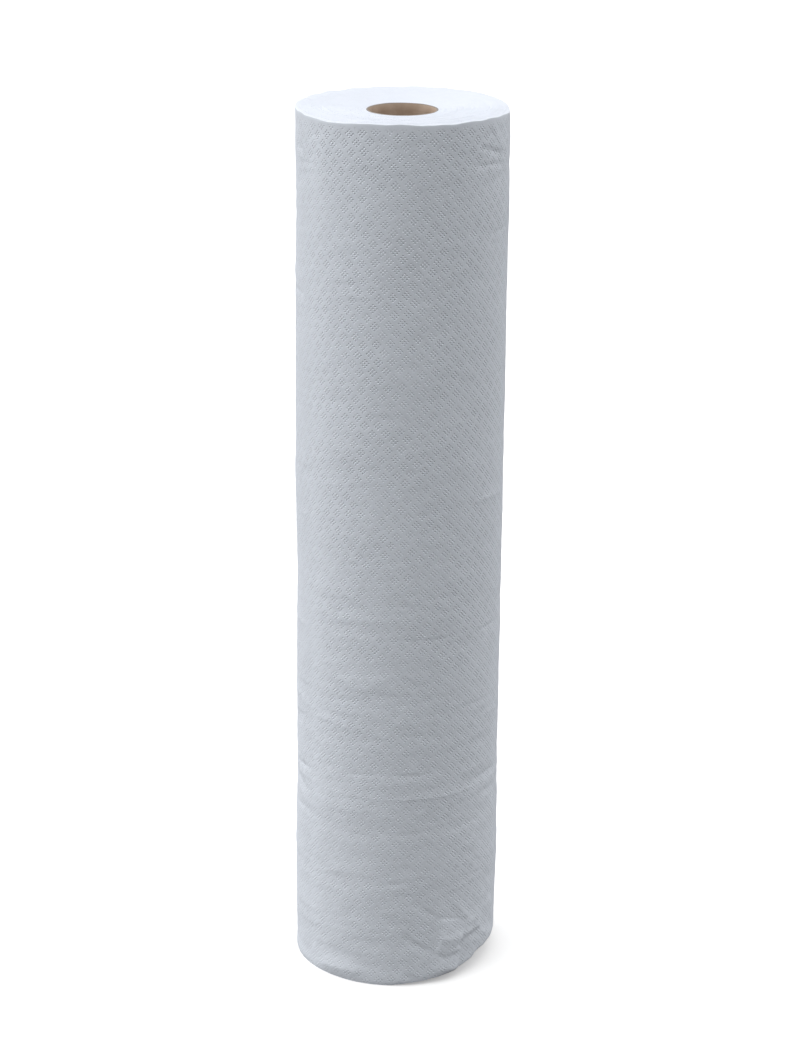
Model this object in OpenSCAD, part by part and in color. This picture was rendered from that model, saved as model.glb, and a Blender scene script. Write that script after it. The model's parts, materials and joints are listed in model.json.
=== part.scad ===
// A roll of examination table paper: a soft two-ply web wound on a cardboard core.
// The roll stands on its end. Z is the roll's axis, and the middle of the lower end is the origin.
// The side seen in the photograph faces -Y, and the free end of the web lies at the back.

/* [Paper web] */
// Width of the web, which is the height of the standing roll
web_w = 500; // [300:10:600]
// Diameter of the wound roll
roll_d = 117; // [90:1:140]
// Height of the step that the free end of the web leaves along the roll
tail_step = 0.3; // [0.1:0.1:0.8]
// Direction in which the free end lies, counted from +X towards +Y
tail_angle = 90; // [30:5:150]

/* [Cardboard core] */
// Bore of the core, which a holder's rod goes through
core_bore_d = 37; // [30:1:50]
// Wall of the core
core_wall = 1; // [0.6:0.1:2]

/* [Ends of the roll] */
// How far the upper end is sunk at the core
dish_depth = 2.3; // [0.5:0.1:6]
// Width of the level ring left round the upper end
rim_w = 8; // [4:1:14]
// Distance between the lines that the edges of the turns draw on the ends
turn_pitch = 2; // [1.6:0.1:4]
// Depth of each line
turn_line_depth = 0.3; // [0.1:0.05:0.5]
// Width of each line
turn_line_w = 0.6; // [0.2:0.1:1]

/* [Crushed edge] */
// How far the lower edge is pushed up where it is crushed most
crush_lift = 11; // [2:1:20]
// Direction in which the edge is crushed most, counted from +X towards +Y
crush_angle = 0; // [-60:5:60]
// Width of the ring in which the lower end is crushed
crush_w = 16; // [8:1:24]

/* [Hidden] */

// Facets of a full circle in the preview
round_fn = 128;
// How far a cutting shape reaches past the face that it opens
past = 1;
// A length that is more than the whole roll
far = web_w + roll_d;

roll_r = roll_d / 2;
bore_r = core_bore_d / 2;
core_r = bore_r + core_wall;
// The core ends level with the sunken turns beside it
core_len = web_w - dish_depth;

// The level ring starts here, and the dish falls evenly from it to the core
rim_r = roll_r - rim_w;
dish_slope = dish_depth / (rim_r - core_r);

// Lines that lie wholly between the core and the roll's own surface
turn_count = floor((roll_r - core_r) / turn_pitch - 0.9);
crush_tilt = atan(crush_lift / roll_r);
crush_foot_r = roll_r - crush_w;

// Height of the upper end at radius r
function top_z(r) = web_w - dish_slope * max(0, rim_r - r);

// Radius of the k-th line from the outside, where it leaves the free end's direction
function line_r(k) = roll_r - (k + 0.5) * turn_pitch;

// Half a turn of a section drawn in the XZ plane, from the free end's direction round the left side
module half_turn() {
    rotate([0, 0, tail_angle]) rotate_extrude(angle = 180, $fn = round_fn) children();
}

// The other half of the turn. Its centre is moved by half of what a turn gains, so the two halves
// meet on one side, and on the free end's side the winding has gained a whole step
module half_turn_back(gain) {
    rotate([0, 0, tail_angle + 180]) translate([-gain / 2, 0, 0])
        rotate_extrude(angle = 180, $fn = round_fn) children();
}

// The wound web without its bore, with the step of the free end along it
module wound_web() {
    half_turn() square([roll_r - tail_step / 2, web_w]);
    half_turn_back(tail_step) square([roll_r, web_w]);
}

// Section of one line in an end face at height z, cut downwards (side = 1) or upwards (side = -1)
module line_section(r, z, side) {
    half_w = turn_line_w / 2 * (1 + past / turn_line_depth);
    polygon([
        [r, z - side * turn_line_depth],
        [r + half_w, z + side * past],
        [r - half_w, z + side * past]
    ]);
}

// The spiral that the edges of the turns draw on both ends
module turn_lines() {
    half_turn() for (k = [1:turn_count]) {
        line_section(line_r(k), top_z(line_r(k)), 1);
        line_section(line_r(k), 0, -1);
    }
    half_turn_back(turn_pitch) for (k = [1:turn_count]) {
        back_r = line_r(k) + turn_pitch / 2;
        line_section(back_r, top_z(back_r), 1);
        line_section(back_r, 0, -1);
    }
}

// The upper end sinks evenly from the level ring to the core
module top_dish() {
    tip_z = web_w - dish_slope * rim_r;
    reach = web_w + past - tip_z;
    translate([0, 0, tip_z]) cylinder(h = reach, r1 = 0, r2 = reach / dish_slope, $fn = round_fn);
}

// What is missing under the crushed edge: a tilted slab outside the foot that still stands flat
module crushed_edge() {
    difference() {
        rotate([0, 0, crush_angle]) rotate([0, -crush_tilt, 0])
            translate([0, -far / 2, -far]) cube([far, far, far]);
        translate([0, 0, -far]) cylinder(h = far, r = crush_foot_r, $fn = round_fn);
        cylinder(h = far, r1 = crush_foot_r, r2 = crush_foot_r + far, $fn = round_fn);
    }
}

module core_tube() {
    color("#b49a83") difference() {
        cylinder(h = core_len, r = core_r, $fn = round_fn);
        translate([0, 0, -past]) cylinder(h = core_len + 2 * past, r = bore_r, $fn = round_fn);
    }
}

module paper_roll() {
    color("#f2f3f7") difference() {
        wound_web();
        translate([0, 0, -past]) cylinder(h = web_w + 2 * past, r = core_r, $fn = round_fn);
        top_dish();
        turn_lines();
        crushed_edge();
    }
}

core_tube();
paper_roll();
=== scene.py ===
import json
import math

import bpy
import numpy as np
from mathutils import Matrix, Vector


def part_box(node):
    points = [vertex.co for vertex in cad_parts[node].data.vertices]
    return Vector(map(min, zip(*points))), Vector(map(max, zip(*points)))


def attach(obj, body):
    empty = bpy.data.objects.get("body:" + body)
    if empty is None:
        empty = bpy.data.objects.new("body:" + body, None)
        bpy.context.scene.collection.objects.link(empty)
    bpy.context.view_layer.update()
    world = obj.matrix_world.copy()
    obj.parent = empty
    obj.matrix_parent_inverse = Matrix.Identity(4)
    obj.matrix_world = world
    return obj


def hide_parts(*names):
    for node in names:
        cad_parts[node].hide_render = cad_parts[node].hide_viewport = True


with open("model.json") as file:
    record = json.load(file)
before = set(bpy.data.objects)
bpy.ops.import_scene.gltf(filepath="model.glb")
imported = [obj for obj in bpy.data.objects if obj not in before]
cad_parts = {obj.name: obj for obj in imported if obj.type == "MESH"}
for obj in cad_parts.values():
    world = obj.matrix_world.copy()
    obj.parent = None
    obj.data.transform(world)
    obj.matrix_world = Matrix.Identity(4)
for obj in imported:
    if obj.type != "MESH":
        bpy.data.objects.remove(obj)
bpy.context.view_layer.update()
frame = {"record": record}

# Cardboard core
# A thin tube wound on a slant from grey-brown board, with the joint of its inner strip
# running round the bore as a helix. Both ends are cut square by a knife and left bare.

# Shapes are given in millimetres, and the sizes in materials in metres
MM = 0.001
MOUNTS = {mount["name"]: mount for mount in frame["record"]["mounts"]}
BORE_R = MOUNTS["core_bore"]["dims"]["r_mm"]
_, CORE_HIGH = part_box("core_tube")
CORE_R = CORE_HIGH[0] / MM
CORE_TOP = CORE_HIGH[2] / MM
CORE_EDGE = 0.2
CORE_COLUMNS = 128
CORE_ROWS = 120
CORE_FRAY = 0.04
BOARD_DARK = (0.40, 0.30, 0.225, 1)
BOARD_LIGHT = (0.54, 0.43, 0.345, 1)
BOARD_CUT_WITH_PAINTED_SHADE = (0.30, 0.275, 0.25, 1)
BOARD_RELIEF = 0.00012
# Shares of the tone that come from the clouds of pulp and from the fibres
BOARD_TONE = (0.6, 0.4)
# How far below the end the grey of the cut, with its painted shade, begins, and where it is full
CUT_BELOW = (0.35, 0.15)
# The inner strip climbs this far in one turn round the bore
STRIP_LEAD = 0.068
# Half the width of the strip's joint, as a share of that climb, at its floor and at its edge
STRIP_JOINT = (0.004, 0.012)
JOINT_SHADE = 0.7
JOINT_DEPTH = 1.5
# Fibres and clouds of pulp to a metre
BOARD_FIBRES = {"Fine_Scale": 1900.0, "Coarse_Scale": 620.0, "Cloud_Scale": 130.0}


def closed_mesh(name, verts, faces, crisp_degrees):
    """A smooth-shaded object from points in millimetres, with its sharper edges kept crisp."""
    mesh = bpy.data.meshes.new(name)
    mesh.from_pydata((np.asarray(verts) * MM).tolist(), [], faces)
    mesh.validate()
    mesh.shade_smooth()
    mesh.set_sharp_from_angle(angle=math.radians(crisp_degrees))
    piece = bpy.data.objects.new(name, mesh)
    bpy.context.scene.collection.objects.link(piece)
    return piece


def ring_faces(rows, columns):
    """Quads of a surface that closes on itself both ways, such as the skin of a tube wall."""
    row, column = np.meshgrid(np.arange(rows), np.arange(columns), indexing="ij")
    below, right = (row + 1) % rows, (column + 1) % columns
    here, under = row * columns, below * columns
    corners = here + column, here + right, under + right, under + column
    return np.stack(corners, axis=-1).reshape(-1, 4).tolist()


def around(angle, radius, height):
    """Points at a turn angle counted from the front (-Y) towards the right (+X)."""
    return np.stack([radius * np.sin(angle), -radius * np.cos(angle), height], axis=-1)


def smooth_noise(rng, rows, columns, row_reach, column_reach):
    """Seeded bumps with a spread of one, smoothed over so many cells each way, and closed round."""
    grid = np.fft.fft2(rng.standard_normal((rows, columns)))
    row_wave = np.fft.fftfreq(rows)[:, None] * row_reach
    column_wave = np.fft.fftfreq(columns)[None, :] * column_reach
    grid = np.fft.ifft2(grid * np.exp(-(row_wave**2 + column_wave**2) * 2 * math.pi**2)).real
    return grid / grid.std()


def tube_wall():
    """Section of the core's wall as one closed line of (radius, height), from the foot of the bore."""
    inner_z = np.linspace(CORE_EDGE, CORE_TOP - CORE_EDGE, CORE_ROWS)
    inner = [(BORE_R, z) for z in inner_z]
    top = [(BORE_R + CORE_EDGE, CORE_TOP), (CORE_R - CORE_EDGE, CORE_TOP)]
    # The outside is hidden in the roll, so every twelfth row is enough there
    outer = [(CORE_R, z) for z in inner_z[::-12]]
    foot = [(CORE_R - CORE_EDGE, 0), (BORE_R + CORE_EDGE, 0)]
    return np.array(inner + top + outer + foot)


def make_core():
    """The tube, with a slightly frayed upper end."""
    wall = tube_wall()
    angle = np.linspace(0, 2 * math.pi, CORE_COLUMNS, endpoint=False)
    fray = smooth_noise(np.random.default_rng(11), 1, CORE_COLUMNS, 1, 3) * CORE_FRAY
    # The last millimetre below the end is frayed
    height = wall[:, 1:] + fray * np.clip(wall[:, 1:] - CORE_TOP + 1, 0, 1)
    radius = np.repeat(wall[:, :1], CORE_COLUMNS, axis=1)
    verts = around(angle[None, :], radius, np.clip(height, 0, None)).reshape(-1, 3)
    return closed_mesh("core_board_tube", verts, ring_faces(len(wall), CORE_COLUMNS), crisp_degrees=50)


class Wiring:
    """Adds nodes to a material or a node group and joins them up."""

    def __init__(self, tree):
        self.tree = tree

    def node(self, kind, **settings):
        new = self.tree.nodes.new(kind)
        for key, value in settings.items():
            setattr(new, key, value)
        return new

    def give(self, socket, value):
        """Links a value that comes from another node, and sets a plain one."""
        if isinstance(value, bpy.types.NodeSocket):
            self.tree.links.new(value, socket)
        else:
            socket.default_value = value

    def feed(self, node, **inputs):
        """Gives a node its inputs, with an underscore for each space in their names."""
        for key, value in inputs.items():
            self.give(node.inputs[key.replace("_", " ")], value)
        return node

    def math(self, operation, *values):
        new = self.node("ShaderNodeMath", operation=operation)
        for socket, value in zip(new.inputs, values):
            self.give(socket, value)
        return new.outputs[0]

    def smooth(self, value, start, end, low=0.0, high=1.0):
        """Changes softly from low, where the value is start, to high, where it is end."""
        new = self.node("ShaderNodeMapRange", interpolation_type="SMOOTHSTEP")
        self.feed(new, Value=value, From_Min=start, From_Max=end, To_Min=low, To_Max=high)
        return new.outputs["Result"]

    def noise(self, vector, scale, detail=2.0, roughness=0.5):
        new = self.node("ShaderNodeTexNoise")
        self.feed(new, Vector=vector, Scale=scale, Detail=detail, Roughness=roughness)
        return new.outputs["Fac"]

    def blend(self, factor, first, second):
        """One colour laid over another by a factor."""
        new = self.node("ShaderNodeMix", data_type="RGBA")
        factor_in, first_in, second_in = new.inputs[0], new.inputs[6], new.inputs[7]
        self.give(factor_in, factor)
        self.give(first_in, first)
        self.give(second_in, second)
        return new.outputs[2]

    def bump(self, height, distance, **normal):
        new = self.node("ShaderNodeBump")
        return self.feed(new, Height=height, Distance=distance, **normal).outputs["Normal"]


def new_group(name, inputs, outputs):
    """A shader node group of single values: its tree, its wiring, and its inputs by name."""
    tree = bpy.data.node_groups.new(name, "ShaderNodeTree")
    for socket in inputs:
        tree.interface.new_socket(socket, in_out="INPUT", socket_type="NodeSocketFloat")
    for socket in outputs:
        tree.interface.new_socket(socket, in_out="OUTPUT", socket_type="NodeSocketFloat")
    wiring = Wiring(tree)
    return tree, wiring, wiring.node("NodeGroupInput").outputs


def use_group(wiring, tree, **inputs):
    """Places a group in a material with that material's own values, and gives its outputs."""
    return wiring.feed(wiring.node("ShaderNodeGroup", node_tree=tree), **inputs).outputs


def round_roll_group():
    """Where a point lies on the roll: share of a turn from the front, distance round, radius, height."""
    tree, wiring, given = new_group("round_roll", ["Wall Radius"], ["Turn", "Arc", "Radius", "Height"])
    split = wiring.node("ShaderNodeSeparateXYZ")
    wiring.feed(split, Vector=wiring.node("ShaderNodeTexCoord").outputs["Object"])
    x, y, z = split.outputs
    angle = wiring.math("ARCTAN2", x, wiring.math("MULTIPLY", y, -1.0))
    square = wiring.math("ADD", wiring.math("MULTIPLY", x, x), wiring.math("MULTIPLY", y, y))
    out = wiring.node("NodeGroupOutput")
    wiring.feed(out, Turn=wiring.math("MULTIPLY", angle, 1 / (2 * math.pi)))
    wiring.feed(out, Arc=wiring.math("MULTIPLY", angle, given["Wall Radius"]))
    wiring.feed(out, Radius=wiring.math("SQRT", square), Height=z)
    return tree


def fibre_group():
    """Short crossing fibres as fine relief, and the cloudy spread of pulp as a slow change of tone."""
    scales = ["Fine Scale", "Coarse Scale", "Cloud Scale"]
    tree, wiring, given = new_group("pulp_fibres", scales, ["Relief", "Cloud"])
    place = wiring.node("ShaderNodeTexCoord").outputs["Object"]
    fine = wiring.noise(place, given["Fine Scale"], 3.0, 0.65)
    coarse = wiring.noise(place, given["Coarse Scale"], 2.0, 0.55)
    out = wiring.node("NodeGroupOutput")
    relief = wiring.math("ADD", wiring.math("MULTIPLY", fine, 0.55), wiring.math("MULTIPLY", coarse, 0.45))
    wiring.feed(out, Relief=relief, Cloud=wiring.noise(place, given["Cloud Scale"], 3.0, 0.6))
    return tree


def new_material(name):
    """A material, its wiring and its shader."""
    material = bpy.data.materials.new(name)
    material.use_nodes = True
    wiring = Wiring(material.node_tree)
    return material, wiring, material.node_tree.nodes["Principled BSDF"]


def board_material():
    """Flecked board with the joint of its inner strip, and a cut end that is greyer than its faces and
    darker still with painted shade.
    """
    material, wiring, shader = new_material("core_board")
    fibres = use_group(wiring, PULP_FIBRES, **BOARD_FIBRES)
    place = use_group(wiring, ROUND_ROLL, Wall_Radius=BORE_R * MM)
    climb = wiring.math("ADD", wiring.math("MULTIPLY", place["Height"], 1 / STRIP_LEAD), place["Turn"])
    to_joint = wiring.math("ABSOLUTE", wiring.math("SUBTRACT", wiring.math("FRACT", climb), 0.5))
    joint = wiring.smooth(to_joint, STRIP_JOINT[1], STRIP_JOINT[0])
    fleck = wiring.smooth(fibres["Cloud"], 0.3, 0.7, high=BOARD_TONE[0])
    tone = wiring.math("ADD", fleck, wiring.math("MULTIPLY", fibres["Relief"], BOARD_TONE[1]))
    lit = wiring.math("SUBTRACT", 1.0, wiring.math("MULTIPLY", joint, JOINT_SHADE))
    tone = wiring.math("MULTIPLY", tone, lit)
    relief = wiring.math("SUBTRACT", fibres["Relief"], wiring.math("MULTIPLY", joint, JOINT_DEPTH))
    cut_start, cut_full = (CORE_TOP - CUT_BELOW[0]) * MM, (CORE_TOP - CUT_BELOW[1]) * MM
    cut = wiring.smooth(place["Height"], cut_start, cut_full)
    # The cut end is greyer board, and darker still as painted shade on its upward face
    colour = wiring.blend(cut, wiring.blend(tone, BOARD_DARK, BOARD_LIGHT), BOARD_CUT_WITH_PAINTED_SHADE)
    wiring.feed(shader, Base_Color=colour, Roughness=0.9, Specular_IOR_Level=0.25)
    wiring.feed(shader, Normal=wiring.bump(relief, BOARD_RELIEF))
    return material


ROUND_ROLL = round_roll_group()
PULP_FIBRES = fibre_group()

core = make_core()
core.data.materials.append(board_material())
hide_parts("core_tube")
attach(core, "root")

# Wound web
# Some two hundred turns of soft two-ply tissue, laid on the core by a winder and slit to width.
# The edges of the turns show as a close spiral on both ends, a little uneven from turn to turn.
_, ROLL_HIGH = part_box("paper_roll")
ROLL_H = ROLL_HIGH[2] / MM
# Mean radius of the wall between its swells
ROLL_R = 58.4
TURNS = 56
TURN_COLUMNS = 208
TURN_ROWS = (0.0, 0.28, 0.8)
TURN_GROOVE = 0.13
TURN_UNEVEN = 0.05
TURN_PROUD = 0.1
WRAP_THICKNESS = 1.6
DISH_DEPTH = ROLL_H - CORE_TOP
DISH_RIM_R = ROLL_R - 8
CRUSH_FOOT_R = 42.5
# Turn angle in degrees from the front, and how far the lower edge is pushed up there
CRUSH_EDGE = (
    (-4, 0), (5, 1.4), (14, 2.1), (23, 3.2), (34, 5.0), (46, 7.1), (53, 9.1), (59, 10.6),
    (64, 10.9), (75, 10.9), (88, 9.6), (110, 8.8), (130, 7.6), (150, 4.6), (172, 0.8), (180, 0),
)
# Turn angle in degrees, and how far the outer turns have slipped down at the upper end
RIM_SLIP = (
    (-90, 0.1), (-70, 0.2), (-66, 0.4), (-63, 1.2), (-60, 0.6), (-50, 1.0), (-42, 1.2), (-34, 1.0),
    (-24, 0.35), (-10, 0.1), (0, 0), (22, 0.1), (27, 0.5), (31, 0.1), (40, 0.2), (47, 0.7), (52, 0.3),
    (62, 0.7), (70, 0.9), (80, 1.8), (96, 1.9), (112, 1.0), (130, 0.2), (160, 0),
)
# The tables are evened out over so many degrees to either side
CRUSH_SOFT = 4
SLIP_SOFT = 2
RIM_UNEVEN = 0.17
SLIP_DEPTH = 12.0
WEB_PITCH = (ROLL_R - WRAP_THICKNESS - CORE_R) / (TURNS + TURN_ROWS[-1])
# Painted shade: the turn edges get a darker white and a darker clouded tone than the tissue of the wraps,
# to offset the stronger light on the upper end
EDGE_WHITE_WITH_PAINTED_SHADE = (0.70, 0.735, 0.805, 1)
EDGE_CLOUD_TONE_WITH_PAINTED_SHADE = (0.63, 0.66, 0.72, 1)
EDGE_CLOUD = 0.25
EDGE_RELIEF = 0.00006
# Shares of the relief that come from the lines and from the fibres
EDGE_SHARES = (0.8, 0.6)
# One fine line stands for two turns of the web
LINE_PITCH = 0.00038
TISSUE_FIBRES = {"Fine_Scale": 1900.0, "Coarse_Scale": 620.0, "Cloud_Scale": 130.0}
# Cells of the seeded bumps, up the roll and round it
NOISE_ROWS = 512
NOISE_COLUMNS = 368


def roll_noise(seed, up_reach, round_reach):
    """A function of place round the roll and height, in millimetres, that gives seeded soft bumps."""
    grid = smooth_noise(np.random.default_rng(seed), NOISE_ROWS, NOISE_COLUMNS, up_reach, round_reach)

    def in_row(row, left, along):
        row = row % NOISE_ROWS
        here, beside = grid[row, left % NOISE_COLUMNS], grid[row, (left + 1) % NOISE_COLUMNS]
        return here * (1 - along) + beside * along

    def at(arc, z):
        column = arc / (2 * math.pi * ROLL_R) * NOISE_COLUMNS
        left, low = np.floor(column).astype(int), np.floor(z).astype(int)
        along, up = column - left, z - low
        return in_row(low, left, along) * (1 - up) + in_row(low + 1, left, along) * up

    return at


def softened(table, angle, soft):
    """Value at a turn angle of a table in degrees, averaged over so many degrees to either side."""
    degrees = (np.degrees(angle) + 180) % 360 - 180
    at, value = np.array(table).T
    shifts = np.linspace(-soft, soft, 2 * soft + 1)
    return np.mean([np.interp(degrees + shift, at, value) for shift in shifts], axis=0)


def crush_lift(angle):
    """How far the lower rim is pushed up at a turn angle."""
    return softened(CRUSH_EDGE, angle, CRUSH_SOFT)


RIM_WAVER = roll_noise(28, 2, 2.2)


def rim_slip(angle):
    """How far the outer turns have slipped down at the upper end at a turn angle."""
    waver = RIM_UNEVEN * RIM_WAVER(angle * ROLL_R, np.zeros_like(angle))
    return softened(RIM_SLIP, angle, SLIP_SOFT) + waver


def end_height(radius, angle):
    """Height of the upper end, which sinks from a level ring towards the core."""
    fall = np.clip((DISH_RIM_R - radius) / (DISH_RIM_R - CORE_R), 0, 1)
    outer = np.clip((radius - ROLL_R + SLIP_DEPTH) / SLIP_DEPTH, 0, 1)
    return ROLL_H - DISH_DEPTH * fall - rim_slip(angle) * outer**2


def foot_height(radius, angle):
    """Height of the lower end: flat on the floor, and bent up outside the foot where it is crushed."""
    return np.clip(np.minimum(crush_lift(angle), radius - CRUSH_FOOT_R), 0, None)


def web_edge(angle):
    """Radius of the wound web's outside, which grows by one turn from the back round to the back."""
    return CORE_R + WEB_PITCH * (TURNS - 1 + TURN_ROWS[-1] + (angle + math.pi) / (2 * math.pi))


def spiral_faces(start, steps, per_turn, rows, flip):
    """Quads of a spiral ribbon, each turn of which is joined to the next."""
    faces = []
    for row in range(rows):
        last = row == rows - 1
        count = steps - per_turn if last else steps
        step = np.arange(count)
        here = start + step * rows + row
        beside = start + (step + per_turn) * rows if last else here + 1
        quads = np.stack([here, here + rows, beside + rows, beside], axis=-1)
        faces += (quads[:, ::-1] if flip else quads).tolist()
    return faces


def side_faces(upper, lower):
    """Quads between two closed lines of points, taken in the same order."""
    after = np.roll(upper, -1), np.roll(lower, -1)
    return np.stack([upper, lower, after[1], after[0]], axis=-1).tolist()


def make_wound_web():
    """The turns as one ribbon that winds out from the core, closed by its inner and outer walls."""
    rows, per_turn = len(TURN_ROWS), TURN_COLUMNS
    steps = TURNS * per_turn
    step = np.arange(steps + 1)
    turned = step / per_turn
    # The winding starts behind the core and gains radius anticlockwise, seen from above
    angle = (math.pi + 2 * math.pi * turned)[:, None] + np.zeros(rows)
    radius = CORE_R + WEB_PITCH * (turned[:, None] + np.array(TURN_ROWS))
    # The first turn lies close round the core and grows thicker, so no gap opens at its start
    radius[:per_turn, 0] = CORE_R
    uneven = smooth_noise(np.random.default_rng(5), 1, len(step), 1, per_turn / 6).T * TURN_UNEVEN
    groove = np.array([TURN_GROOVE] + [0] * (rows - 1))
    top = end_height(radius, angle) + np.minimum(uneven, TURN_PROUD) - groove
    foot = foot_height(radius, angle) + np.abs(uneven) + groove
    verts = np.concatenate([around(angle, radius, z).reshape(-1, 3) for z in (top, foot)])
    half = len(verts) // 2
    faces = spiral_faces(0, steps, per_turn, rows, False) + spiral_faces(half, steps, per_turn, rows, True)
    # Closed lines of points round the inside and the outside, each with the step where the web ends
    inner = np.array([i * rows for i in range(per_turn + 1)] + list(range(rows - 1, 0, -1)))
    outer = np.array([i * rows + rows - 1 for i in range(steps - per_turn, steps + 1)])
    outer = np.concatenate([outer, steps * rows + np.arange(rows - 2, -1, -1)])
    faces += side_faces(inner[::-1], inner[::-1] + half) + side_faces(outer, outer + half)
    return closed_mesh("wound_web", verts, faces, crisp_degrees=60)


def edge_material():
    """Slit edges of the turns, as fine spiral lines among short fibres."""
    material, wiring, shader = new_material("tissue_turn_edges")
    fibres = use_group(wiring, PULP_FIBRES, **TISSUE_FIBRES)
    place = use_group(wiring, ROUND_ROLL, Wall_Radius=ROLL_R * MM)
    layer = wiring.math("SUBTRACT", wiring.math("MULTIPLY", place["Radius"], 1 / LINE_PITCH), place["Turn"])
    line = wiring.math("MULTIPLY", wiring.math("PINGPONG", layer, 0.5), EDGE_SHARES[0])
    relief = wiring.math("ADD", line, wiring.math("MULTIPLY", fibres["Relief"], EDGE_SHARES[1]))
    tone = wiring.smooth(fibres["Cloud"], 0.35, 0.75, high=EDGE_CLOUD)
    # The edges' colour is the tissue painted darker, as shade against the light from above
    wiring.feed(shader, Base_Color=wiring.blend(tone, EDGE_WHITE_WITH_PAINTED_SHADE, EDGE_CLOUD_TONE_WITH_PAINTED_SHADE))
    wiring.feed(shader, Roughness=0.95, Specular_IOR_Level=0.2)
    wiring.feed(shader, Normal=wiring.bump(relief, EDGE_RELIEF))
    return material


TURN_EDGES = edge_material()
wound_web = make_wound_web()
wound_web.data.materials.append(TURN_EDGES)
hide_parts("paper_roll")
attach(wound_web, "root")

# Outer wraps
# The last few turns of the web, embossed with diamonds of three by three small dents. Handling
# has set soft creases round them, rolled their upper rim over and crumpled the lower right edge.
WRAP_COLUMNS = 208
WRAP_ROWS = 460
RIM_ROUND = 0.5
RIM_TURNS = np.radians([22, 45, 67, 90])
# The wall takes part in the slip of the upper rim and in the crush of the lower one this far
RIM_HEIGHT = 30.0
CRUSH_HEIGHT = 48.0
CRUSH_RIDGES = 0.16
FOOT_IN = 0.4
# Where rows and columns of points lie closer together
STRONG_CREASE = 0.17
CREASE_BAND = 2.5
FOOT_BAND = 45
RIM_BAND = 470
CORNER_ANGLE = 0.75
CORNER_SPREAD = 0.6
# Rows of points down the hidden inner side, counted from its upper and from its lower edge
INNER_DOWN = (0.02, 0.6, 8.0)
INNER_UP = (60.0, 8.0, 0.4)
LUMP_SIZE = 0.18
RIPPLE_SIZE = 0.1
POCK_SIZE = 0.045
# The ripples are full up to the first height, and only this share of them is left at the second
WORN_HEIGHTS = (220, 340)
WORN_ABOVE = 0.3
# Half the distance between two dents, round the roll and up it, and how far a dent's edge and
# its floor lie from its middle, all in millimetres
DENT_SIZE = {"Step_Round": 1.0625, "Step_Up": 1.09, "Dent_Edge": 0.62, "Dent_Floor": 0.16}
DENT_DEPTH = 0.00042
# Heights over which the dents grow crisp, and over which the rim is rubbed smooth
DENT_CRISP = (0.06, 0.36)
RIM_RUBBED = (0.4985, 0.4945)
# What is left of a dent at the foot, and in the middle of a rubbed patch
DENT_AT_FOOT = 0.62
DENT_IN_PATCH = 0.6
PATCHES_PER_METRE = 55.0
FIBRE_RELIEF = 0.00016
TISSUE_WHITE = (0.80, 0.845, 0.915, 1)
TISSUE_SHADE = (0.745, 0.785, 0.85, 1)
# The floors of the dents are darker, partly as denser pressed paper and partly as painted shade in the
# hollows
DENT_PRESSED_AND_PAINTED_SHADE = (0.62, 0.655, 0.71, 1)
TISSUE_CLOUD = 0.35
DENT_PRESSED_AND_SHADE_SHARE = 0.7
# Soft creases: place round the roll and height, half length, width of the broad bank, depth and
# slope. A negative depth is a ridge
FRONT_CREASES = (
    (-66, 474, 10, 2.2, 0.35, 0), (-68, 481, 7, 1.6, 0.2, 0.1),
    (66, 437.5, 13, 1.6, 0.3, 0), (62, 431, 6, 1.5, 0.25, -0.3), (-75, 401, 11, 3, 0.55, 0),
    (-28, 413, 9, 1.6, 0.2, 0), (-25, 407, 10, 1.5, -0.25, 0), (-19, 398, 4, 1.5, 0.2, 0),
    (-7, 341, 4, 2, 0.3, 0), (-62, 302, 8, 3.5, 0.45, 0.3), (43, 321, 10, 2, 0.2, -0.7),
    (6, 311, 8, 2.5, 0.2, 0), (70, 358, 10, 1.5, 0.25, 0), (5, 286, 16, 1.8, 0.15, 0),
    (60, 288, 18, 2.2, -0.4, -0.05), (70, 274, 10, 1.8, 0.3, 0), (-12, 271, 60, 3, -0.1, 0),
    (-26, 256, 6, 1.8, 0.25, 0), (-36, 239, 15, 1.8, -0.15, -0.3), (-37, 234, 5, 1.5, 0.2, 0),
    (-35, 227, 5, 1.8, 0.3, 0), (-33, 220, 5, 1.5, 0.25, 0), (5, 233, 8, 2.5, 0.3, 0),
    (29, 237, 10, 2, 0.2, 0), (72, 231, 9, 2.5, -0.25, -0.2), (18, 213, 17, 2, 0.3, 0),
    (63, 212, 13, 1.8, 0.45, 0), (-74, 210, 13, 2, -0.15, 0), (15, 201, 13, 2.5, -0.15, -0.1),
    (7, 189, 7, 2.5, 0.25, -0.5), (-8, 180, 30, 3.5, 0.2, -0.03), (-60, 174, 15, 2, 0.2, 0),
    (50, 169, 14, 2.4, 0.45, 0), (72, 158, 9, 2, -0.2, 0), (-40, 165, 19, 2, 0.15, 0.05),
    (-47, 159, 7, 1.8, -0.25, 0), (-46, 150, 9, 2, 0.3, 0), (-72, 154, 9, 1.8, 0.35, 0.3),
    (5, 156, 8, 2.5, 0.2, 0), (8, 144, 8, 2, 0.2, 0), (-16, 145, 11, 2.2, 0.2, 0),
    (-20, 131, 9, 2.2, 0.25, 0.1), (7, 132, 11, 1.8, 0.3, 0), (-70, 123, 13, 3.2, 0.6, 0.1),
    (-70, 117, 12, 1.8, -0.3, 0.05), (-72, 112, 11, 2.5, 0.5, -0.1), (-73, 97, 9, 1.6, 0.3, 0.15),
    (25, 117, 60, 1.6, -0.2, 0), (64, 122, 13, 1.8, 0.4, 0), (67, 111, 10, 2, 0.25, 0),
    (-22, 94, 14, 2.2, 0.15, 0), (3, 96, 13, 2.2, 0.15, 0), (57, 81, 4, 1.5, 0.35, 0),
    (55, 70, 4, 1.8, 0.35, -0.3), (49, 63, 13, 2.2, 0.2, -0.1), (-58, 70, 15, 2, 0.15, 0),
    (-39, 67, 9, 2.5, -0.2, 0.3), (-1, 65, 5, 1.8, 0.25, 0), (7, 57, 11, 1.8, 0.2, 0),
)
CREASE_STEEP = 2.6
CREASE_TAPER = 1.5
BACK_CREASES = 60
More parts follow.
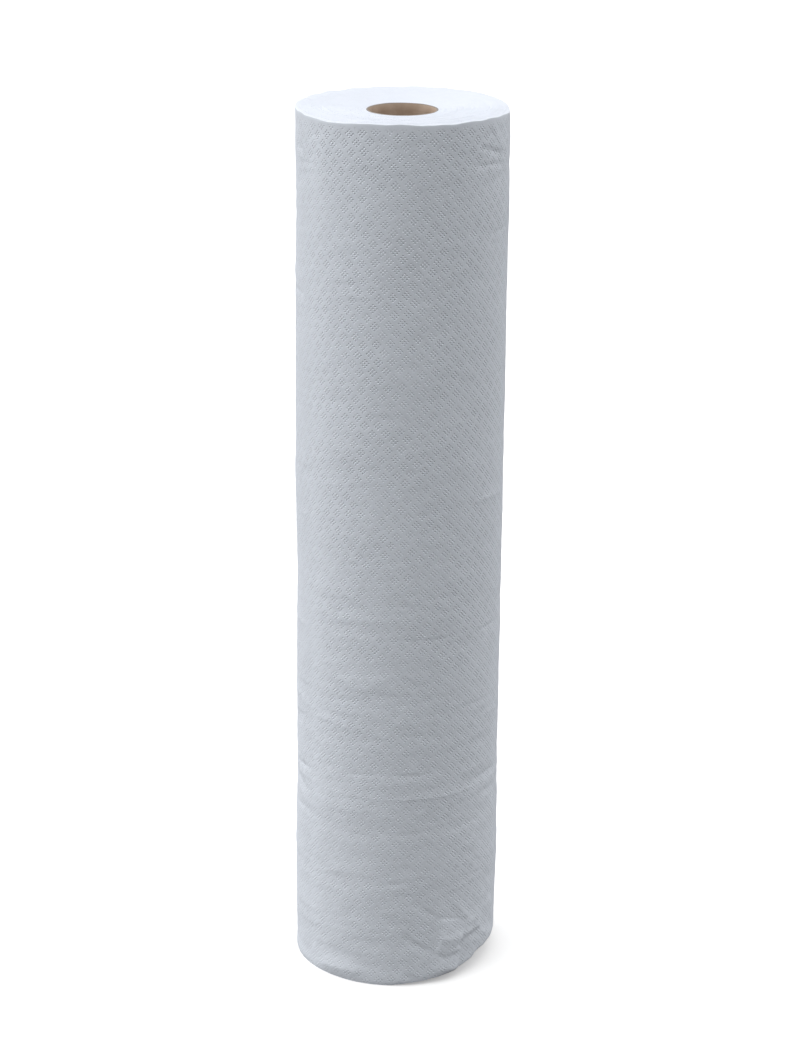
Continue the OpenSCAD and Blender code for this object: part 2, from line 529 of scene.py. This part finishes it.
# Straight folds of the crumpled corners: place and height, direction in degrees, half length,
# width above and below the fold, and how far it stands out
FOLDS = (
    (33.5, 26, -14, 7, 12, 26, 1.5), (33, 37.5, -15, 5.5, 1.2, 9, 0.24), (31.5, 7, -8, 6.5, 9, 7, 0.9),
    (18, 22.8, -34, 13, 1.3, 5, -0.42), (20, 45.5, -36, 9, 1.2, 4, -0.3), (51, 26.4, 5, 7, 9, 2.4, 0.75),
    (43, 24, -4, 3, 5, 1.5, 0.2), (32.5, 15.3, 4, 4, 1.0, 3, -0.18), (44, 14, -20, 6, 8, 5, -0.12),
    (44, 17.5, -32, 7, 0.9, 3, -0.18), (58, 38, 60, 8, 6, 4, 0.3), (66, 18, -25, 9, 5, 5, 0.5),
    (60, 12, 10, 8, 4, 3, 0.4), (74, 30, -60, 9, 5, 7, 0.35), (58, 9, 0, 4, 3, 3, -0.7),
    (43, 40, -55, 10, 4, 5, 0.4), (10, 5, -35, 4, 1.6, 3, -0.4), (-35, 6.2, 2, 12, 6, 5, 0.85),
    (62, 488, -52, 8, 3, 2, 0.4), (56, 482.5, -18, 9, 1.5, 3, -0.45), (54, 475, -5, 12, 1.5, 3, -0.3),
    (51, 490, 20, 6, 3, 3, -0.25), (60, 466, 15, 8, 2, 4, -0.25), (68, 470, 70, 9, 2, 3, -0.3),
    (-68, 480, -25, 7, 2, 4, -0.35), (-58, 488, 35, 7, 2, 3, -0.25), (-62, 468, 10, 8, 2, 4, -0.3),
    (-72, 455, -40, 7, 3, 2, 0.3), (-64, 440, 20, 8, 2, 4, -0.25),
)
# A fold fades out between these multiples of its half length
FOLD_FADE = (0.85, 1.35)
# Height, and how far the left or the right side stands out there
LEFT_SWELLS = (
    (0, -0.6), (14, -0.6), (26, -0.3), (40, 0.1), (50, 0.3), (80, 0.15), (100, -0.1), (112, -0.5),
    (140, -0.5), (160, -0.6), (170, -0.3), (180, -0.6), (200, -0.6), (230, -0.8), (250, -0.5),
    (270, -0.2), (298, 0.0), (315, -0.5), (335, -0.2), (360, -0.4), (390, -0.8), (410, -0.6),
    (430, -0.9), (460, -0.9), (478, -0.6), (490, -0.9), (500, -0.8),
)
RIGHT_SWELLS = (
    (0, -0.2), (30, -0.1), (42, 0.0), (60, 0.6), (75, 0.3), (90, 0.4), (100, 0.3), (120, -0.2),
    (145, 0.0), (162, 0.3), (180, -0.2), (200, -0.2), (220, -0.4), (240, 0.0), (262, 0.2),
    (280, 0.0), (295, -0.4), (320, -0.5), (340, 0.0), (370, 0.0), (410, -0.2), (445, 0.0),
    (470, -0.4), (484, -0.1), (500, -0.4),
)
SIDE_ARC = 91.0
SIDE_REACH = 24.0


def creases(arc, z):
    """Relief of the soft creases, each with one steep and one broad bank."""
    relief = np.zeros_like(arc)
    for at, height, reach, width, depth, slope in CREASES:
        along = np.clip(1 - ((arc - at) / (CREASE_TAPER * reach)) ** 2, 0, None) ** 2
        above = (z - height - slope * (arc - at)) / width
        steep = above * math.copysign(1, depth) > 0
        relief -= depth * along * np.exp(-np.abs(above) * np.where(steep, CREASE_STEEP, 1.0))
    return relief


def folds(arc, z):
    """Relief of the straight folds, each with two flat banks."""
    relief = np.zeros_like(arc)
    for at, height, direction, reach, above, below, rise in FOLDS:
        turn = math.radians(direction)
        along = (arc - at) * math.cos(turn) + (z - height) * math.sin(turn)
        across = (z - height) * math.cos(turn) - (arc - at) * math.sin(turn)
        fade = np.interp(np.abs(along) / reach, FOLD_FADE, (1, 0))
        relief += rise * fade * np.clip(1 - np.abs(across) / np.where(across > 0, above, below), 0, None)
    return relief


def back_creases(rng):
    """Creases like those in front, for the side that faces away."""
    table = []
    for _ in range(BACK_CREASES):
        at = rng.uniform(92, 275)
        height = 495 - 475 * rng.uniform(0, 1) ** 0.8
        size = rng.uniform(5, 22), rng.uniform(1.6, 3), rng.uniform(-0.2, 0.45), rng.uniform(-0.1, 0.1)
        table.append((at, height, *size))
        table.append((at - 2 * math.pi * ROLL_R, height, *size))
    return tuple(table)


CREASES = FRONT_CREASES + back_creases(np.random.default_rng(41))


def side_lean(arc, z):
    """Slow swells of the left and right sides."""
    lean = 0
    for swells, side in ((LEFT_SWELLS, -SIDE_ARC), (RIGHT_SWELLS, SIDE_ARC)):
        lean = lean + np.interp(z, *np.array(swells).T) * np.exp(-(((arc - side) / SIDE_REACH) ** 2))
    return lean


LUMPS = roll_noise(23, 21, 13)
RIPPLES = roll_noise(24, 2.2, 13)
RIPPLE_PATCHES = roll_noise(25, 14, 20)
POCKS = roll_noise(26, 1.6, 2.2)
CRUMPLE = roll_noise(27, 2.6, 3.4)


def wrap_relief(arc, z):
    """How far the outer wraps stand out from or sink below a true cylinder."""
    worn = np.interp(z, WORN_HEIGHTS, (1, WORN_ABOVE))
    ripples = RIPPLES(arc, z) * worn * (0.7 + 0.35 * RIPPLE_PATCHES(arc, z))
    small = LUMPS(arc, z) * LUMP_SIZE + ripples * RIPPLE_SIZE + POCKS(arc, z) * POCK_SIZE
    return small + side_lean(arc, z) + creases(arc, z) + folds(arc, z)


def gathered(low, high, count, density):
    """Steps from low to high that crowd together where the density is high."""
    fine = np.linspace(low, high, 4000)
    grown = np.cumsum(density(fine))
    return np.interp(np.linspace(grown[0], grown[-1], count), grown, fine)


def row_density(z):
    """More rows of points near the stronger creases, the crushed foot and the rim."""
    lines = [height for _, height, _, _, depth, _ in CREASES if abs(depth) > STRONG_CREASE]
    crowd = np.sum([np.exp(-(((z - height) / CREASE_BAND) ** 2)) for height in lines], axis=0)
    return 1 + 1.2 * np.clip(crowd, 0, 1.5) + 1.0 * (z < FOOT_BAND) + 0.6 * (z > RIM_BAND)


def column_density(angle):
    """More columns of points round the crumpled corner, which lies to the right of the front."""
    return 1 + 0.9 * np.exp(-(((angle - CORNER_ANGLE) / CORNER_SPREAD) ** 2))


def make_outer_wraps():
    """The wall, its rolled-over upper rim and an inner side that meets the wound web."""
    angle = gathered(-math.pi, math.pi, WRAP_COLUMNS + 1, column_density)[:-1]
    height = gathered(0, ROLL_H - RIM_ROUND, WRAP_ROWS, row_density)
    arc, z = np.meshgrid(angle * ROLL_R, height)
    turn = np.repeat(angle[None, :], WRAP_ROWS, axis=0)
    lift = crush_lift(turn)
    crush = np.clip(1 - z / CRUSH_HEIGHT, 0, 1)
    z = z + lift * crush**2 - rim_slip(turn) * np.clip((z - ROLL_H) / RIM_HEIGHT + 1, 0, 1) ** 2
    ridges = CRUSH_RIDGES * (1 - 1.2 * np.abs(CRUMPLE(arc, z)))
    ridges = ridges * np.clip(lift / 6, 0, 1) * np.clip(crush * 1.5, 0, 1)
    foot_in = FOOT_IN * np.exp(-np.clip(z - lift, 0, None))
    radius = ROLL_R + wrap_relief(arc, z) + ridges - foot_in
    rows_r, rows_z = [radius], [z]
    # The rim rolls over to the flat edge of the wraps, and the inner side closes the sheet
    for rim_turn in RIM_TURNS:
        rows_r.append(radius[-1:] + RIM_ROUND * (math.cos(rim_turn) - 1))
        rows_z.append(z[-1:] + RIM_ROUND * math.sin(rim_turn))
    inner_r = web_edge(angle)[None, :]
    rows_r += [inner_r] * (len(INNER_DOWN) + len(INNER_UP))
    rows_z += [end_height(inner_r, angle) - down for down in INNER_DOWN]
    rows_z += [z[:1] + up for up in INNER_UP]
    all_r, all_z = np.concatenate(rows_r), np.concatenate(rows_z)
    verts = around(angle[None, :], all_r, np.clip(all_z, 0, None)).reshape(-1, 3)
    sheet = closed_mesh("outer_wraps", verts, ring_faces(len(all_r), WRAP_COLUMNS), crisp_degrees=75)
    sheet.data.materials.append(TISSUE)
    sheet.data.materials.append(TURN_EDGES)
    # The flat of the rim and the first rows of the inner side show the edges of the turns
    past_wall = np.arange(len(all_r) * WRAP_COLUMNS) // WRAP_COLUMNS - WRAP_ROWS
    cut_edge = (past_wall >= 2) & (past_wall < 6)
    sheet.data.polygons.foreach_set("material_index", cut_edge.astype(int))
    return sheet


def embossing_group():
    """Dents on a slanted grid, three by three of them together and every fourth row left out."""
    inputs = ["Arc", "Height", "Step Round", "Step Up", "Dent Edge", "Dent Floor"]
    tree, wiring, given = new_group("diamond_embossing", inputs, ["Dent"])
    across = wiring.math("DIVIDE", wiring.math("MULTIPLY", given["Arc"], 0.5 / MM), given["Step Round"])
    upward = wiring.math("DIVIDE", wiring.math("MULTIPLY", given["Height"], 0.5 / MM), given["Step Up"])
    rising, falling = wiring.math("ADD", across, upward), wiring.math("SUBTRACT", across, upward)
    rise_no, fall_no = wiring.math("ROUND", rising), wiring.math("ROUND", falling)
    rise_off = wiring.math("SUBTRACT", rising, rise_no)
    fall_off = wiring.math("SUBTRACT", falling, fall_no)
    dx = wiring.math("MULTIPLY", wiring.math("ADD", rise_off, fall_off), given["Step Round"])
    dz = wiring.math("MULTIPLY", wiring.math("SUBTRACT", rise_off, fall_off), given["Step Up"])
    square = wiring.math("ADD", wiring.math("MULTIPLY", dx, dx), wiring.math("MULTIPLY", dz, dz))
    reach = wiring.math("SQRT", square)
    dent = wiring.smooth(reach, given["Dent Edge"], given["Dent Floor"])
    # A diamond is three rows by three, and each next one is set off by a row
    block = wiring.math("FLOOR", wiring.math("MULTIPLY", rise_no, 0.25))
    in_rise = wiring.math("LESS_THAN", wiring.math("FLOORED_MODULO", rise_no, 4.0), 2.5)
    set_off = wiring.math("FLOORED_MODULO", wiring.math("ADD", fall_no, block), 4.0)
    kept = wiring.math("MULTIPLY", in_rise, wiring.math("LESS_THAN", set_off, 2.5))
    wiring.feed(wiring.node("NodeGroupOutput"), Dent=wiring.math("MULTIPLY", dent, kept))
    return tree


def dent_crispness(wiring, height):
    """How deep the dents still are: full on the upper half, pressed flatter low down and in patches."""
    by_height = wiring.smooth(height, *DENT_CRISP, low=DENT_AT_FOOT)
    place = wiring.node("ShaderNodeTexCoord").outputs["Object"]
    patches = wiring.smooth(wiring.noise(place, PATCHES_PER_METRE), 0.3, 0.62, low=DENT_IN_PATCH)
    crisp = wiring.math("MULTIPLY", by_height, patches)
    return wiring.math("MULTIPLY", crisp, wiring.smooth(height, *RIM_RUBBED))


def tissue_material():
    """Embossed tissue: loose and pale, and darker on the floors of its dents, partly as denser pressed
    paper and partly as painted shade.
    """
    material, wiring, shader = new_material("embossed_tissue")
    material.cycles.use_bump_map_correction = False
    fibres = use_group(wiring, PULP_FIBRES, **TISSUE_FIBRES)
    place = use_group(wiring, ROUND_ROLL, Wall_Radius=ROLL_R * MM)
    dents = use_group(wiring, EMBOSSING, Arc=place["Arc"], Height=place["Height"], **DENT_SIZE)
    pressed = wiring.math("MULTIPLY", dents["Dent"], dent_crispness(wiring, place["Height"]))
    embossed = wiring.bump(wiring.math("MULTIPLY", pressed, -1.0), DENT_DEPTH)
    tone = wiring.smooth(fibres["Cloud"], 0.35, 0.7, high=TISSUE_CLOUD)
    colour = wiring.blend(tone, TISSUE_WHITE, TISSUE_SHADE)
    # Painted shade in the dents, together with the darker tone of the pressed paper
    colour = wiring.blend(wiring.math("MULTIPLY", pressed, DENT_PRESSED_AND_SHADE_SHARE), colour, DENT_PRESSED_AND_PAINTED_SHADE)
    wiring.feed(shader, Base_Color=colour, Roughness=0.95, Specular_IOR_Level=0.2)
    wiring.feed(shader, Normal=wiring.bump(fibres["Relief"], FIBRE_RELIEF, Normal=embossed))
    return material


EMBOSSING = embossing_group()
TISSUE = tissue_material()
wraps = make_outer_wraps()
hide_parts("paper_roll")
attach(wraps, "root")

# Free end of the web
# The last stretch of the outermost turn, cut square and laid down at the back. Its edge is not
# glued, so it stands off a little here and there along the roll.
TAIL_SHEET = 0.3
TAIL_ANGLE = math.pi
TAIL_REACH = math.radians(34)
TAIL_RAGGED = math.radians(0.14)
TAIL_SUNK = 0.2
TAIL_RISE = 0.22
TAIL_LIFT = 0.3
TAIL_WAVE = 0.05
TAIL_COLUMNS = 26
TAIL_ROWS = 300


def make_tail():
    """A thin sheet that lies on the wraps and rises off them towards its cut edge."""
    rng = np.random.default_rng(77)
    height = np.linspace(0.4, ROLL_H - 0.5, TAIL_ROWS)
    spread = np.linspace(0, 1, TAIL_COLUMNS)[None, :] ** 0.8
    ragged = smooth_noise(rng, TAIL_ROWS, 1, 5, 1) * TAIL_RAGGED
    lift = np.clip(smooth_noise(rng, TAIL_ROWS, 1, 12, 1), 0, 2.2) * TAIL_LIFT
    plain = TAIL_ANGLE - TAIL_REACH * (1 - spread)
    angle = plain + ragged * spread**6
    arc = np.repeat(plain * ROLL_R, TAIL_ROWS, axis=0)
    z = np.repeat(height[:, None], TAIL_COLUMNS, axis=1)
    stand = TAIL_SHEET * np.clip(spread * 5, 0, 1) - TAIL_SUNK + lift * spread**4 + TAIL_RISE * spread
    wave = smooth_noise(rng, TAIL_ROWS, TAIL_COLUMNS, 4, 9) * TAIL_WAVE
    outer = ROLL_R + stand + wave + creases(arc, z)
    inner = outer - TAIL_SHEET
    z = z + crush_lift(angle) * np.clip(1 - z / CRUSH_HEIGHT, 0, 1) ** 2
    # Each row of points goes out along the outer side and back along the inner one
    ring_angle = np.concatenate([angle, angle[:, ::-1]], axis=1)
    ring_r = np.concatenate([outer, inner[:, ::-1]], axis=1)
    ring_z = np.concatenate([z, z[:, ::-1]], axis=1)
    verts = around(ring_angle, ring_r, ring_z).reshape(-1, 3)
    columns = 2 * TAIL_COLUMNS
    faces = [f for f in ring_faces(TAIL_ROWS, columns) if abs(f[0] - f[3]) == columns]
    for row in (0, TAIL_ROWS - 1):
        for column in range(TAIL_COLUMNS - 1):
            near, far = row * columns + column, row * columns + columns - 1 - column
            quad = [near, near + 1, far - 1, far]
            faces.append(quad if row else quad[::-1])
    return closed_mesh("web_free_end", verts, faces, crisp_degrees=60)


tail = make_tail()
tail.data.materials.append(TISSUE)
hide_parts("paper_roll")
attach(tail, "root")

# Floor
# A plain white studio floor, lit a little from below so that the roll throws only a soft shadow,
# and wide enough to fill the view to its far edge.
FLOOR_HALF = 12.0
FLOOR_WHITE = (0.82, 0.82, 0.82, 1)
FLOOR_GLOW = 0.35


def make_floor():
    """One square that throws no light back on the roll."""
    mesh = bpy.data.meshes.new("studio_floor")
    corners = [(x * FLOOR_HALF, y * FLOOR_HALF, 0) for x, y in ((-1, -1), (1, -1), (1, 1), (-1, 1))]
    mesh.from_pydata(corners, [], [(0, 1, 2, 3)])
    floor = bpy.data.objects.new("studio_floor", mesh)
    bpy.context.scene.collection.objects.link(floor)
    material, wiring, shader = new_material("studio_floor")
    wiring.feed(shader, Base_Color=FLOOR_WHITE, Roughness=1.0, Specular_IOR_Level=0.0)
    wiring.feed(shader, Emission_Color=FLOOR_WHITE, Emission_Strength=FLOOR_GLOW)
    mesh.materials.append(material)
    floor.visible_diffuse = False
    return floor


make_floor()

# Studio light
# A white room with a bright ceiling, and three broad soft lights: one from the left, a weaker
# one from the right and behind, and one from above. The side turned to the camera is darkest.
ROOM_ABOVE = 0.36
ROOM_BELOW = 0.0
KEY_LIGHT = {"turn": -92, "elevation": 20, "strength": 2.06, "spread": 100}
RIM_LIGHT = {"turn": 110, "elevation": 22, "strength": 1.08, "spread": 100}
TOP_LIGHT = {"turn": 0, "elevation": 88, "strength": 1.9, "spread": 110}


def soft_sun(name, turn, elevation, strength, spread):
    """A broad light from a turn angle counted from the front towards the right."""
    light = bpy.data.lights.new(name, "SUN")
    light.energy = strength
    light.angle = math.radians(spread)
    lamp = bpy.data.objects.new(name, light)
    lamp.rotation_euler = (math.radians(90 - elevation), 0, math.radians(turn))
    bpy.context.scene.collection.objects.link(lamp)


soft_sun("key_light", **KEY_LIGHT)
soft_sun("rim_light", **RIM_LIGHT)
soft_sun("top_light", **TOP_LIGHT)


def white_room():
    """A room whose ceiling is bright and whose light fades down to its floor."""
    world = bpy.data.worlds.new("white_room")
    world.use_nodes = True
    wiring = Wiring(world.node_tree)
    split = wiring.node("ShaderNodeSeparateXYZ")
    wiring.feed(split, Vector=wiring.node("ShaderNodeTexCoord").outputs["Generated"])
    ramp = wiring.node("ShaderNodeMapRange")
    wiring.feed(ramp, Value=split.outputs["Z"], From_Min=-1, From_Max=1)
    wiring.feed(ramp, To_Min=ROOM_BELOW, To_Max=ROOM_ABOVE)
    # Seen directly, beyond the edge of the floor, the room is plain white
    seen = wiring.node("ShaderNodeLightPath").outputs["Is Camera Ray"]
    glow = wiring.math("MAXIMUM", ramp.outputs["Result"], seen)
    wiring.feed(world.node_tree.nodes["Background"], Color=(1, 1, 1, 1), Strength=glow)
    return world


bpy.context.scene.world = white_room()
bpy.context.scene.view_settings.view_transform = "Standard"
bpy.context.scene.cycles.denoising_prefilter = "NONE"

# Camera
# Stands in front of the roll and looks down on it, as the photograph does.
CAMERA_AT = (0, -1.4966, 0.7709)
CAMERA_YAW = math.radians(0.025)
CAMERA_DOWN = math.radians(18.808)
CAMERA_ROLL = math.radians(0.496)
SENSOR = 36.0
FOCAL_PIXELS = 2792.7
LONG_SIDE_PIXELS = 1049


def make_camera():
    """A camera whose long side spans the photograph's height."""
    data = bpy.data.cameras.new("camera")
    data.sensor_width = SENSOR
    data.lens = SENSOR * FOCAL_PIXELS / LONG_SIDE_PIXELS
    camera = bpy.data.objects.new("camera", data)
    turn = Matrix.Rotation(-CAMERA_YAW, 4, "Z") @ Matrix.Rotation(math.pi / 2 - CAMERA_DOWN, 4, "X")
    camera.matrix_world = Matrix.Translation(CAMERA_AT) @ turn @ Matrix.Rotation(CAMERA_ROLL, 4, "Z")
    bpy.context.scene.collection.objects.link(camera)
    bpy.context.scene.camera = camera


make_camera()
